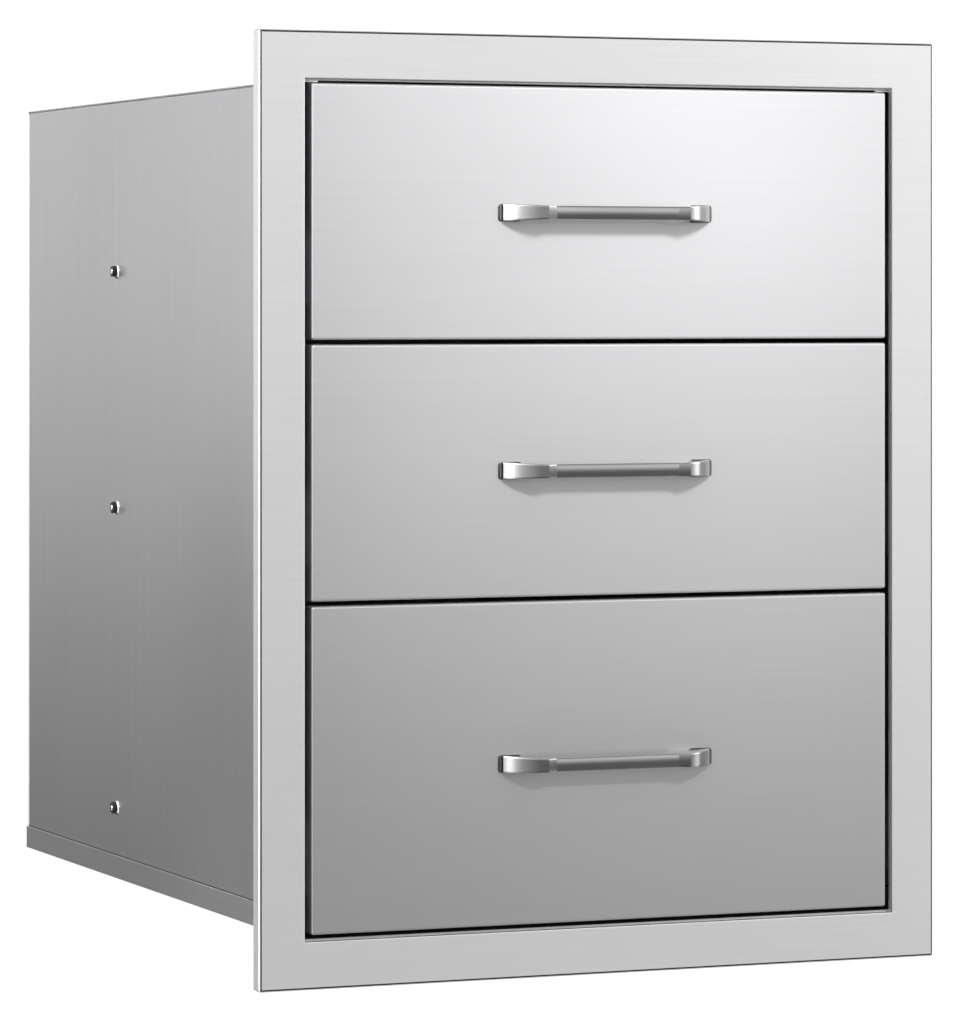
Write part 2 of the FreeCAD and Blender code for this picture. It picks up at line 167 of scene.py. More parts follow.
steelSpecs = {
    "frameSteel": {"light": (0.865, 0.865, 0.875), "dark": (0.795, 0.795, 0.805), "metal": 0.60,
                   "rough": 0.32, "roughSpread": 0.04, "grain": (14, 500, 3000), "coarse": (7, 120, 900),
                   "bump": 0.02, "cloud": 3.0},
    "frontSteel": {"light": (0.55, 0.55, 0.56), "dark": (0.51, 0.51, 0.52), "metal": 0.72,
                   "rough": 0.295, "roughSpread": 0.018, "grain": (14, 500, 3000), "coarse": (7, 120, 900),
                   "bump": 0.008, "cloud": 3.0},
    # panelSteel carries a painted shadow line just above the base tray's lip
    "panelSteel": {"light": (0.705, 0.71, 0.72), "dark": (0.62, 0.625, 0.635), "metal": 1.0,
                   "rough": 0.32, "roughSpread": 0.035, "grain": (1500, 1500, 10), "coarse": (480, 480, 5),
                   "bump": 0.05, "cloud": 2.2, "joint": {"below": 0.1 * mm, "above": 1.1 * mm, "shade": 0.3}},
    "topSteel": {"light": (0.70, 0.705, 0.71), "dark": (0.62, 0.625, 0.63), "metal": 1.0,
                 "rough": 0.33, "roughSpread": 0.045, "grain": (1500, 8, 1500), "coarse": (260, 2.5, 260),
                 "bump": 0.07, "cloud": 2.2},
    "baseSteel": {"light": (0.68, 0.685, 0.69), "dark": (0.61, 0.615, 0.62), "metal": 1.0,
                  "rough": 0.33, "roughSpread": 0.045, "grain": (1500, 8, 1500), "coarse": (260, 2.5, 260),
                  "bump": 0.07, "cloud": 2.2},
    "linerSteel": {"light": (0.62, 0.62, 0.62), "dark": (0.54, 0.54, 0.54), "metal": 0.9,
                   "rough": 0.35, "roughSpread": 0.06, "grain": (8, 900, 1300), "coarse": (3, 150, 200),
                   "bump": 0.06, "cloud": 2.5},
    "traySteel": {"light": (0.68, 0.685, 0.69), "dark": (0.60, 0.605, 0.61), "metal": 0.9,
                  "rough": 0.34, "roughSpread": 0.055, "grain": (1300, 8, 1300), "coarse": (220, 2.5, 220),
                  "bump": 0.06, "cloud": 2.5},
    "slideZinc": {"light": (0.72, 0.745, 0.77), "dark": (0.58, 0.61, 0.64), "metal": 0.9,
                  "rough": 0.33, "roughSpread": 0.05, "grain": (900, 14, 900), "coarse": (120, 9, 120),
                  "bump": 0.05, "cloud": 14.0},
    "cageZinc": {"light": (0.66, 0.65, 0.60), "dark": (0.50, 0.49, 0.45), "metal": 0.9,
                 "rough": 0.36, "roughSpread": 0.07, "grain": (900, 20, 900), "coarse": (140, 12, 140),
                 "bump": 0.05, "cloud": 20.0},
    "fastenerSteel": {"light": (0.78, 0.78, 0.78), "dark": (0.60, 0.60, 0.60), "metal": 1.0,
                      "rough": 0.22, "roughSpread": 0.045, "grain": (900, 900, 900),
                      "coarse": (300, 300, 300), "bump": 0.06, "cloud": 160.0},
    # painted shade and dark reflection on the frame's bends and the handles' end walls and foot plates, and
    # the dark oxide of the nuts' hex bodies
    "shadeAndOxideSteel": {"light": (0.085, 0.085, 0.09), "dark": (0.035, 0.035, 0.037), "metal": 0.9,
                  "rough": 0.33, "roughSpread": 0.05, "grain": (900, 900, 900), "coarse": (300, 300, 300),
                  "bump": 0.06, "cloud": 160.0},
    "ballSteel": {"light": (0.80, 0.80, 0.81), "dark": (0.72, 0.72, 0.73), "metal": 1.0,
                  "rough": 0.08, "roughSpread": 0.05, "grain": (700, 700, 700), "coarse": (200, 200, 200),
                  "bump": 0.02, "cloud": 120.0},
    "handleSteel": {"light": (0.40, 0.40, 0.40), "dark": (0.36, 0.36, 0.36), "metal": 1.0,
                    "rough": 0.17, "roughSpread": 0.05, "grain": (14, 1400, 1800), "coarse": (6, 220, 260),
                    "bump": 0.03, "cloud": 30.0},
}

# the share of the fine streaks among all, that of all streaks against the clouds, and the contrast of the two
brushSpec = {"fine": 0.6, "streak": 0.75, "low": 0.34, "high": 0.66, "depth": 0.2 * mm}


# rolled or brushed steel: fine streaks along the grain and broad cloudy patches
def steel(name):
    spec = steelSpecs[name]
    finish = Finish(name)
    fine = finish.noise(spec["grain"], detail=3.0, roughness=0.7)
    coarse = finish.noise(spec["coarse"], roughness=0.6)
    cloud = finish.noise((spec["cloud"],) * 3)
    streak = fine * brushSpec["fine"] + coarse * (1.0 - brushSpec["fine"])
    pattern = streak * brushSpec["streak"] + cloud * (1.0 - brushSpec["streak"])
    tone = finish.ramp(pattern, [(brushSpec["low"], 0.0), (brushSpec["high"], 1.0)])
    colour = finish.mixed(tone, spec["dark"], spec["light"])
    if "joint" in spec:
        colour = withPaintedJointShade(finish, colour, spec)
    rough = (cloud - 0.5) * (2.0 * spec["roughSpread"]) + spec["rough"]
    return finish.surface("ShaderNodeBsdfPrincipled", {
        "Base Color": colour, "Metallic": spec["metal"], "Roughness": rough,
        "Normal": finish.bump(streak, spec["bump"], brushSpec["depth"])})


# a panel that stands in the base tray gets a painted shadow line just above where the tray's lip ends, in
# place of the shade in the gap between the two
def withPaintedJointShade(finish, colour, spec):
    joint = spec["joint"]
    height = finish.value("ShaderNodeSeparateXYZ", {}, {"Vector": finish.place}, "Z")
    across = (height - (lipTop - joint["below"])) / (joint["below"] + joint["above"])
    line = finish.ramp(across, [(0.0, 0.0), (0.1, 1.0), (0.8, 1.0), (1.0, 0.0)])
    return finish.mixed(line, colour, [joint["shade"] * level for level in spec["dark"]])


rubberSpec = {"light": (0.045, 0.045, 0.047), "dark": (0.018, 0.018, 0.019), "rough": 0.72,
              "roughSpread": 0.125, "speckle": 900.0, "dust": 60.0, "low": 0.4, "high": 0.7, "bump": 0.25,
              "depth": 0.2 * mm}


def rubber():
    spec = rubberSpec
    finish = Finish("bumperRubber")
    speck = finish.noise((spec["speckle"],) * 3, detail=3.0, roughness=0.7)
    dust = finish.ramp(finish.noise((spec["dust"],) * 3), [(spec["low"], 0.0), (spec["high"], 1.0)])
    rough = (speck - 0.5) * (2.0 * spec["roughSpread"]) + spec["rough"]
    return finish.surface("ShaderNodeBsdfPrincipled", {
        "Base Color": finish.mixed(dust, spec["dark"], spec["light"]), "Metallic": 0.0, "Roughness": rough,
        "Normal": finish.bump(speck, spec["bump"], spec["depth"])})


finishes = {name: steel(name) for name in steelSpecs}
finishes["bumperRubber"] = rubber()

# nodes that keep their own mesh only get a finish
nodeFinishes = {}
for n in drawers:
    nodeFinishes["front_liner_%d" % n] = "linerSteel"
    for side in sides:
        for member in ("outer", "middle", "inner"):
            nodeFinishes["slide_%s_%s_%d" % (member, side, n)] = "slideZinc"
for node, finishName in nodeFinishes.items():
    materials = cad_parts[node].data.materials
    materials.clear()
    materials.append(finishes[finishName])
print("stage 2:", len(finishes), "finishes")


# shared shaping

doubles = 1e-7  # vertices closer than this are one
near = 1e-4  # the same for parts drawn in millimetres


def meshData(name, mesh):
    data = bpy.data.meshes.new(name)
    mesh.to_mesh(data)
    mesh.free()
    return data


def addObject(name, data):
    added = bpy.data.objects.new(name, data)
    bpy.context.scene.collection.objects.link(added)
    return added


# faces of flatFrom or more stay flat, so that the shading of wide sheets doesn't bulge
def newPiece(name, mesh, finishNames, body, smooth=30.0, flatFrom=12 * mm * mm):
    data = meshData(name, mesh)
    data.set_sharp_from_angle(angle=math.radians(smooth))
    for face in data.polygons:
        face.use_smooth = face.area < flatFrom
    for finishName in finishNames:
        data.materials.append(finishes[finishName])
    piece = addObject(name, data)
    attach(piece, body)
    return piece


def bevelled(mesh, edges, width, segments=2):
    bmesh.ops.bevel(mesh, geom=edges, offset=width, offset_type="OFFSET", affect="EDGES", segments=segments,
                    profile=0.5, material=-1, clamp_overlap=True)


def inset(mesh, face, thickness, depth=0.0):
    bmesh.ops.inset_region(mesh, faces=[face], thickness=thickness, depth=depth, use_even_offset=True,
                           use_boundary=True)


def allOf(mesh):
    return mesh.verts[:] + mesh.edges[:] + mesh.faces[:]


def vertsOf(geom):
    return [part for part in geom if isinstance(part, bmesh.types.BMVert)]


def sliced(mesh, spot, normal):
    bmesh.ops.bisect_plane(mesh, geom=allOf(mesh), plane_co=spot, plane_no=normal)


def sharpEdges(mesh, degrees=30.0):
    joined = [edge for edge in mesh.edges if len(edge.link_faces) == 2]
    return [edge for edge in joined if edge.calc_face_angle(0.0) > math.radians(degrees)]


# axis is 0, 1 or 2 for X, Y or Z
def edgesAlong(mesh, axis, least):
    return [edge for edge in mesh.edges if abs(edge.verts[0].co[axis] - edge.verts[1].co[axis]) > least]


def edgesAbove(mesh, axis, height):
    return [edge for edge in mesh.edges if all(vert.co[axis] > height for vert in edge.verts)]


# the largest face that looks along a direction
def widestFace(mesh, direction):
    looking = [face for face in mesh.faces if face.normal.dot(Vector(direction)) > 0.9]
    return max(looking, key=lambda face: face.calc_area())


def blockOf(size, middle):
    block = bmesh.new()
    bmesh.ops.create_cube(block, size=1.0)
    bmesh.ops.scale(block, vec=size, verts=block.verts)
    bmesh.ops.translate(block, vec=middle, verts=block.verts)
    return block


# a solid of turning: (radius, height) points from the axis round to the axis, spun about Z
def turned(profile, steps):
    mesh = bmesh.new()
    points = [mesh.verts.new((radius, 0, height)) for radius, height in profile]
    edges = [mesh.edges.new(pair) for pair in zip(points, points[1:])]
    bmesh.ops.spin(mesh, geom=points + edges, cent=(0, 0, 0), axis=(0, 0, 1), dvec=(0, 0, 0),
                   angle=math.tau, steps=steps, use_merge=True)
    bmesh.ops.remove_doubles(mesh, verts=mesh.verts, dist=doubles)
    bmesh.ops.recalc_face_normals(mesh, faces=mesh.faces)
    return mesh


def joinInto(mesh, part):
    data = meshData("joining", part)
    mesh.from_mesh(data)
    bpy.data.meshes.remove(data)


# a small turned or milled part is made standing on the origin along +Z and then set in place
def placed(mesh, part, position, direction):
    turn = Vector((0, 0, 1)).rotation_difference(Vector(direction)).to_matrix().to_4x4()
    part.transform(Matrix.Translation(Vector(position)) @ turn)
    joinInto(mesh, part)


# face frame and drawer fronts: one folded sheet each, with rounded bends

foldSpecs = {
    "frame": {"sheet": 1.2 * mm, "fold": 1.6 * mm, "foldSteps": 5, "lip": 9.0 * mm, "border": 29.6 * mm,
              "hem": 4.4 * mm, "hemFold": 0.9 * mm, "hemSteps": 4, "shadedFold": (4, 38), "shadedHem": (45, 88)},
    "front": {"sheet": 1.0 * mm, "fold": 1.4 * mm, "foldSteps": 5, "lip": 10.0 * mm},
}


# a block with rounded edges is opened at the back, and at the front for the frame, and given its thickness
def foldedPan(node, spec):
    low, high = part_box(node)
    shell = blockOf(high - low, (low + high) / 2)
    bevelled(shell, shell.edges[:], spec["fold"], spec["foldSteps"])
    back = widestFace(shell, (0, 1, 0))
    inset(shell, back, spec["lip"] - spec["fold"])
    bmesh.ops.delete(shell, geom=[back], context="FACES")
    if "hem" in spec:
        foldHem(shell, spec)
    bmesh.ops.recalc_face_normals(shell, faces=shell.faces)
    rightmost = max(shell.faces, key=lambda face: face.calc_center_median().x)
    if rightmost.normal.x < 0:
        bmesh.ops.reverse_faces(shell, faces=shell.faces)
    if "hem" in spec:
        paintShadeOnBends(shell, low, high, spec)
    bmesh.ops.solidify(shell, geom=shell.faces[:], thickness=spec["sheet"])
    bmesh.ops.recalc_face_normals(shell, faces=shell.faces)
    return shell


# the face is opened inside its border, and the edge of the opening turned back
def foldHem(shell, spec):
    front = widestFace(shell, (0, -1, 0))
    inset(shell, front, spec["border"] - spec["fold"])
    rim = front.edges[:]
    bmesh.ops.delete(shell, geom=[front], context="FACES_ONLY")
    hem = bmesh.ops.extrude_edge_only(shell, edges=rim)["geom"]
    bmesh.ops.translate(shell, vec=(0, spec["hem"], 0), verts=vertsOf(hem))
    bevelled(shell, rim, spec["hemFold"], spec["hemSteps"])


# the outer bends show a painted dark reflection where they leave the face, and those of the hem painted shade
# where they end
def paintShadeOnBends(shell, low, high, spec):
    reach = (high - low) / 2
    for face in shell.faces:
        lean = math.degrees(face.normal.angle(Vector((0, -1, 0))))
        spot = face.calc_center_median() - (low + high) / 2
        outer = abs(spot.x) > reach.x - spec["fold"] or abs(spot.z) > reach.z - spec["fold"]
        least, most = spec["shadedFold"] if outer else spec["shadedHem"]
        if least < lean < most:
            face.material_index = 1


mesh = foldedPan("face_frame", foldSpecs["frame"])
piece = newPiece("face_frame_folded", mesh, ["frameSteel", "shadeAndOxideSteel"], "cabinet")
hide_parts("face_frame")
for n in drawers:
    mesh = foldedPan("drawer_front_%d" % n, foldSpecs["front"])
    piece = newPiece("drawer_front_folded_%d" % n, mesh, ["frontSteel"], "drawer_%d" % n)
    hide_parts("drawer_front_%d" % n)
print("stage 3: face frame and drawer fronts")

# enclosure and trays: the sheets of the nodes with broken edges

sheetSpec = {"edge": 0.25 * mm, "lipEdge": 0.12 * mm, "trayEdge": 0.2 * mm, "gap": 1e-6, "flat": 1.0}


# loose triangles are merged and joined to flat faces first, and then the edges are broken, as after deburring
def deburred(node, body, finishName, width):
    mesh = bmesh.new()
    mesh.from_mesh(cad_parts[node].data)
    bmesh.ops.remove_doubles(mesh, verts=mesh.verts, dist=sheetSpec["gap"])
    bmesh.ops.dissolve_limit(mesh, angle_limit=math.radians(sheetSpec["flat"]), use_dissolve_boundaries=False,
                             verts=mesh.verts, edges=mesh.edges, delimit={"NORMAL"})
    bevelled(mesh, sharpEdges(mesh), width)
    piece = newPiece(node + "_sheet", mesh, [finishName], body)
    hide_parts(node)


panelSpecs = {
    "side_panel_left": ("panelSteel", sheetSpec["edge"]),
    "side_panel_right": ("panelSteel", sheetSpec["edge"]),
    "top_panel": ("topSteel", sheetSpec["edge"]),
    "rear_panel": ("panelSteel", sheetSpec["edge"]),
    "base_tray": ("baseSteel", sheetSpec["lipEdge"]),
}
for node, (finishName, edge) in panelSpecs.items():
    deburred(node, "cabinet", finishName, edge)
print("stage 4: enclosure")

for n in drawers:
    deburred("drawer_tray_%d" % n, "drawer_%d" % n, "traySteel", sheetSpec["trayEdge"])
print("stage 5: drawer trays")

# handles: a cast bow on two foot plates
# its bulging legs rise to a crest, and a crowned grip lies between two facets; sizes in millimetres

handleSpec = {
    "toe": 70.0, "toeHeight": 3.0, "crest": 47.8, "crestHeight": 23.4, "grip": 41.3, "gripHeight": 20.4,
    "backHeight": 14.4, "backBend": 48.0, "heel": 58.5, "sole": 0.6, "legBulge": 2.2, "legSteps": 16,
    "gripWidth": 8.3, "endWidth": 10.4, "edge": 0.45, "edgeSteps": 3, "crown": 0.6, "strips": 8,
    "shadedEnd": 0.1, "holeSpacing": 128.0,
}
plateSpec = {"inner": 57.0, "outer": 72.3, "width": 10.8, "height": 1.3, "corner": 1.8, "cornerSteps": 5,
             "chamfer": 0.6}


# right half of the outline: toe, leg, facet and grip, then back to the foot's sole
def handleOutline():
    spec = handleSpec
    run, rise = spec["toe"] - spec["crest"], spec["crestHeight"] - spec["toeHeight"]
    chord = math.hypot(run, rise)
    radius = (chord * chord / 4 + spec["legBulge"] ** 2) / (2 * spec["legBulge"])
    outward = Vector((rise, run, 0)) / chord
    middle = Vector((spec["toe"] + spec["crest"], spec["toeHeight"] + spec["crestHeight"], 0)) / 2
    centre = middle - outward * (radius - spec["legBulge"])
    mesh = bmesh.new()
    toe = mesh.verts.new((spec["toe"], spec["toeHeight"], 0))
    leg = bmesh.ops.spin(mesh, geom=[toe], cent=centre, axis=(0, 0, 1), dvec=(0, 0, 0),
                         angle=2 * math.asin(chord / (2 * radius)), steps=spec["legSteps"], use_merge=False)
    corners = [leg["geom_last"][0]]
    for x, out in ((spec["grip"], spec["gripHeight"]), (0, spec["gripHeight"]), (0, spec["backHeight"]),
                   (spec["backBend"], spec["backHeight"]), (spec["heel"], spec["sole"]),
                   (spec["toe"], spec["sole"])):
        corners.append(mesh.verts.new((x, out, 0)))
    for pair in zip(corners, corners[1:] + [toe]):
        mesh.edges.new(pair)
    mesh.faces.new(orderedLoop(mesh))
    return mesh


# the vertices of the one closed outline, in order round it
def orderedLoop(mesh):
    first = mesh.verts[:][0]
    loop, edge = [first], first.link_edges[0]
    while True:
        vert = edge.other_vert(loop[-1])
        if vert == first:
            return loop
        loop.append(vert)
        edge = [linked for linked in vert.link_edges if linked != edge][0]


def handleBow():
    spec = handleSpec
    mesh = handleOutline()
    solid = bmesh.ops.extrude_face_region(mesh, geom=mesh.faces[:])["geom"]
    bmesh.ops.translate(mesh, vec=(0, 0, spec["endWidth"]), verts=vertsOf(solid))
    cut = [face for face in mesh.faces if all(abs(vert.co.x) < near for vert in face.verts)]
    bmesh.ops.delete(mesh, geom=cut, context="FACES")
    bmesh.ops.translate(mesh, vec=(0, 0, -spec["endWidth"] / 2), verts=mesh.verts)
    bmesh.ops.mirror(mesh, geom=allOf(mesh), axis="X", merge_dist=near)
    bmesh.ops.recalc_face_normals(mesh, faces=mesh.faces)
    rims = [edge for edge in sharpEdges(mesh, degrees=60.0)
            if any(abs(face.normal.z) > 0.9 for face in edge.link_faces)]
    bevelled(mesh, rims, spec["edge"], spec["edgeSteps"])
    for k in range(1, spec["strips"]):
        sliced(mesh, (0, 0, spec["endWidth"] * (k / spec["strips"] - 0.5)), (0, 0, 1))
    for vert in mesh.verts:
        narrowed(vert)
    # the end walls get painted shade in the dark steel
    for face in mesh.faces:
        if abs(face.calc_center_median().x) > spec["toe"] - spec["shadedEnd"]:
            face.material_index = 1
    for sign in sides.values():
        joinInto(mesh, footPlate(sign))
    return mesh


# the bow narrows from its ends to the grip, and grip and facets are crowned
def narrowed(vert):
    spec = handleSpec
    fromMiddle = abs(vert.co.x)
    leg = min(max((fromMiddle - spec["crest"]) / (spec["toe"] - spec["crest"]), 0.0), 1.0)
    facet = min(max((spec["crest"] - fromMiddle) / (spec["crest"] - spec["grip"]), 0.0), 1.0)
    width = spec["gripWidth"] + (spec["endWidth"] - spec["gripWidth"]) * leg
    across = 2 * vert.co.z / spec["endWidth"]
    vert.co.z *= width / spec["endWidth"]
    if vert.co.y > (spec["gripHeight"] + spec["backHeight"]) / 2:
        vert.co.y -= spec["crown"] * facet * across * across


# only the top of a foot plate keeps the handle's steel; its sides and edges get painted shade in the dark
# steel
def footPlate(sign):
    spec = plateSpec
    size = (spec["outer"] - spec["inner"], spec["height"], spec["width"])
    plate = blockOf(size, (sign * (spec["outer"] + spec["inner"]) / 2, spec["height"] / 2, 0))
    bevelled(plate, edgesAlong(plate, 1, spec["height"] / 2), spec["corner"], spec["cornerSteps"])
    bevelled(plate, edgesAbove(plate, 1, spec["height"] - near), spec["chamfer"])
    for face in plate.faces:
        face.material_index = 0 if face.normal.y > 0.99 else 1
    return plate


for n in drawers:
    mesh = handleBow()
    # the outline's +Y points out of the drawer's face, which is -Y of the unit
    place = Matrix.Translation((0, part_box("handle_%d" % n)[1].y, middleZ("handle_%d" % n)))
    mesh.transform(place @ Matrix.Scale(mm, 4) @ Matrix.Scale(-1, 4, (0, 1, 0)))
    bmesh.ops.recalc_face_normals(mesh, faces=mesh.faces)
    piece = newPiece("handle_bow_%d" % n, mesh, ["handleSteel", "shadeAndOxideSteel"], "drawer_%d" % n,
                     smooth=20.0, flatFrom=200 * mm * mm)
    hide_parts("handle_%d" % n)
print("stage 6: handles")

# bolts, nuts and screws, in millimetres; bolts and screws have the same thread

threadSpec = {"radius": 2.0, "pitch": 0.7, "depth": 0.22, "crest": 0.12, "root": 0.35, "tipInset": 0.45,
              "tipLength": 0.5, "headRadius": 4.0, "steps": 40}
boltSpec = {"headHeight": 1.2, "length": 6.9, "setbacks": (45.0, 352.0)}
nutSpec = {"flats": 7.0, "height": 4.2, "bore": 2.0, "flangeRadius": 5.0, "flangeRim": 0.6,
           "flangeEdge": 0.15, "shoulder": 0.25, "shoulderRise": 0.2, "coneTop": 1.35, "coneShare": 0.93,
           "steps": 48, "chamfer": 0.45, "cornerEdge": 0.18, "crownRim": 0.35, "hollow": 0.25,
           "hollowDepth": 0.3, "turn": 13.0}
screwSpec = {"headHeight": 2.4, "length": 5.0}


# seen from its seat: the pan head lies below Z = 0, and the threaded shank stands above it
def panBolt(headHeight, length):
    spec = threadSpec
    head, shank, pitch = spec["headRadius"], spec["radius"], spec["pitch"]
    profile = [(0, -headHeight), (head * 0.55, -headHeight), (head * 0.86, -headHeight * 0.72),
               (head, -headHeight * 0.3), (head, 0), (shank, 0)]
    height = pitch
    while height < length - pitch:
        profile += [(shank, height - spec["crest"]), (shank - spec["depth"], height + pitch * spec["root"])]
        height += pitch
    profile += [(shank, length - spec["tipLength"]), (shank - spec["tipInset"], length), (0, length)]
    bolt = turned(profile, spec["steps"])
    bolt.transform(Matrix.Scale(mm, 4))
    return bolt


def flangeNut(degrees):
    spec = nutSpec
    corner = spec["flats"] / math.sqrt(3)
    radius, rim, bore = spec["flangeRadius"], spec["flangeRim"], spec["bore"]
    nut = turned([(bore, 0), (radius - spec["flangeEdge"], 0), (radius, spec["flangeEdge"]), (radius, rim),
                  (radius - spec["shoulder"], rim + spec["shoulderRise"]),
                  (corner * spec["coneShare"], spec["coneTop"]), (bore, spec["coneTop"])], spec["steps"])
    hexagon = bmesh.new()
    bmesh.ops.create_cone(hexagon, cap_ends=True, segments=6, radius1=corner, radius2=corner,
                          depth=spec["height"] - rim)
    bmesh.ops.translate(hexagon, vec=(0, 0, (spec["height"] + rim) / 2), verts=hexagon.verts)
    bevelled(hexagon, edgesAbove(hexagon, 2, spec["height"] - near), spec["chamfer"])
    bevelled(hexagon, edgesAlong(hexagon, 2, spec["height"] / 2), spec["cornerEdge"])
    crown = max(hexagon.faces, key=lambda face: face.calc_center_median().z)
    inset(hexagon, crown, spec["crownRim"])
    inset(hexagon, crown, spec["hollow"], -spec["hollowDepth"])
    for face in hexagon.faces:
        face.material_index = 1
    joinInto(nut, hexagon)
    nut.transform(Matrix.Scale(mm, 4) @ Matrix.Rotation(math.radians(degrees), 4, "Z"))
    return nut


bolts, nuts = bmesh.new(), bmesh.new()
for side, sign in sides.items():
    for n in drawers:
        z = middleZ("slide_outer_%s_%d" % (side, n))
        for setback in boltSpec["setbacks"]:
            bolt = panBolt(boltSpec["headHeight"], boltSpec["length"])
            placed(bolts, bolt, (sign * (outerX - slideWall), setback * mm, z), (sign, 0, 0))
            nut = flangeNut(nutSpec["turn"] * n + setback)
            placed(nuts, nut, (sign * (outerX + panelWall), setback * mm, z), (sign, 0, 0))
piece = newPiece("slide_bolts_turned", bolts, ["fastenerSteel"], "cabinet")
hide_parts("slide_bolts")
piece = newPiece("flange_nuts_milled", nuts, ["fastenerSteel", "shadeAndOxideSteel"], "cabinet")
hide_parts("flange_nuts")
print("stage 7: bolts and nuts")

for n in drawers:
    mesh = bmesh.new()
    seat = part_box("handle_screws_%d" % n)[1].y - screwSpec["headHeight"] * mm
    for sign in sides.values():
        position = (sign * handleSpec["holeSpacing"] / 2 * mm, seat, middleZ("handle_screws_%d" % n))
        placed(mesh, panBolt(screwSpec["headHeight"], screwSpec["length"]), position, (0, -1, 0))
    piece = newPiece("handle_screws_turned_%d" % n, mesh, ["fastenerSteel"], "drawer_%d" % n)
    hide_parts("handle_screws_%d" % n)
print("stage 8: handle screws")

# ball cages with pockets, and the balls in them

cageSpec = {"sheet": 0.6 * mm, "balls": 9, "pitch": 20.0 * mm, "ballRadius": 1.5 * mm, "pocket": 1.6 * mm,
            "lip": 2.4 * mm}
# how far the balls lie in from the back of the outer slide, and up and down from its middle
ringSpecs = {
    "outer": {"inset": 6.775 * mm, "up": 19.75 * mm},
    "inner": {"inset": 8.925 * mm, "up": 16.026 * mm},
}


# a strip folded to a channel, with a pocket punched for each ball
def cageStrip(low, high, ballX, ballYs):
    spec = cageSpec
    flangeZ = (high.z - low.z) / 2 - spec["sheet"] / 2
    webX = high.x - spec["sheet"] / 2
    tipX = min(2 * ballX - webX, ballX - spec["lip"])
    strip = bmesh.new()
    corners = [strip.verts.new((x, low.y, z)) for x, z in ((tipX, flangeZ), (webX, flangeZ), (webX, -flangeZ),
                                                           (tipX, -flangeZ))]
    edges = [strip.edges.new(pair) for pair in zip(corners, corners[1:])]
    made = bmesh.ops.extrude_edge_only(strip, edges=edges)["geom"]
    bmesh.ops.translate(strip, vec=(0, high.y - low.y, 0), verts=vertsOf(made))
    shifts = (-spec["pocket"], spec["pocket"])
    for y in ballYs:
        for shift in shifts:
            sliced(strip, (0, y + shift, 0), (0, 1, 0))
    for shift in shifts:
        sliced(strip, (ballX + shift, 0, 0), (1, 0, 0))
    pockets = []
    for face in strip.faces:
        spot = face.calc_center_median()
        beside = abs(spot.x - ballX) < spec["pocket"]
        along = any(abs(spot.y - y) < spec["pocket"] for y in ballYs)
        if abs(face.normal.z) > 0.5 and beside and along:
            pockets.append(face)
    bmesh.ops.delete(strip, geom=pockets, context="FACES")
    bmesh.ops.recalc_face_normals(strip, faces=strip.faces)
    bmesh.ops.solidify(strip, geom=strip.faces[:], thickness=spec["sheet"])
    return strip


def cagesAndBalls(node, ringSpec):
    spec = cageSpec
    low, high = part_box(node)
    middle = (low + high) / 2
    ballX = outerX - ringSpec["inset"]
    ballYs = [middle.y + (k - (spec["balls"] - 1) / 2) * spec["pitch"] for k in range(spec["balls"])]
    cages, balls = bmesh.new(), bmesh.new()
    for sign in sides.values():
        strip = cageStrip(low, high, ballX, ballYs)
        strip.transform(Matrix.Translation((0, 0, middle.z)))
        if sign < 0:
            strip.transform(Matrix.Scale(-1, 4, (1, 0, 0)))
        bmesh.ops.recalc_face_normals(strip, faces=strip.faces)
        joinInto(cages, strip)
        for up in (-1, 1):
            for y in ballYs:
                place = Matrix.Translation((sign * ballX, y, middle.z + up * ringSpec["up"]))
                bmesh.ops.create_icosphere(balls, subdivisions=2, radius=spec["ballRadius"], matrix=place)
    return cages, balls


for n in drawers:
    for ring, ringSpec in ringSpecs.items():
        node = "ball_cages_%s_%d" % (ring, n)
        body = "%s_cages_%d" % (ring, n)
        cages, balls = cagesAndBalls(node, ringSpec)
        piece = newPiece(node + "_punched", cages, ["cageZinc"], body)
        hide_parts(node)
        newPiece("balls_%s_%d" % (ring, n), balls, ["ballSteel"], body, smooth=60.0)
print("stage 9: cages and balls")

# rubber bumpers: a block with softened edges in the rear end of each outer slide

bumperSpec = {"height": 20.0 * mm, "edge": 1.2 * mm, "edgeSteps": 3}
mesh = bmesh.new()
low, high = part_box("slide_bumpers")
for side, sign in sides.items():
    for n in drawers:
        node = "slide_outer_%s_%d" % (side, n)
        innerX = min(abs(corner.x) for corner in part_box(node))
        width = outerX - slideWall - innerX
        middle = (sign * (innerX + width / 2), (low.y + high.y) / 2, middleZ(node))
        block = blockOf((width, high.y - low.y, bumperSpec["height"]), middle)
        bevelled(block, block.edges[:], bumperSpec["edge"], bumperSpec["edgeSteps"])
        joinInto(mesh, block)
piece = newPiece("slide_bumpers_moulded", mesh, ["bumperRubber"], "cabinet")
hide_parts("slide_bumpers")
print("stage 10: bumpers")

# screws that hold the inner slide members to the trays, and rivets of the middle members

headSpecs = {
    "screw": {"radius": 3.4 * mm, "height": 1.3 * mm, "setbacks": (40.0, 240.0, 440.0), "steps": 28},
    "rivet": {"radius": 2.2 * mm, "height": 0.7 * mm, "setbacks": (25.0, 475.0), "steps": 28},
}


# low heads in a row along a slide member; facing is 1 to the right and -1 to the left
def addHeads(mesh, kind, node, x, facing):
    spec = headSpecs[kind]
    radius, height = spec["radius"], spec["height"]
    for setback in spec["setbacks"]:
        head = turned([(0, 0), (radius, 0), (radius, height * 0.35), (radius * 0.82, height * 0.8),
                       (radius * 0.5, height), (0, height)], spec["steps"])
        placed(mesh, head, (x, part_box(node)[0].y + setback * mm, middleZ(node)), (facing, 0, 0))


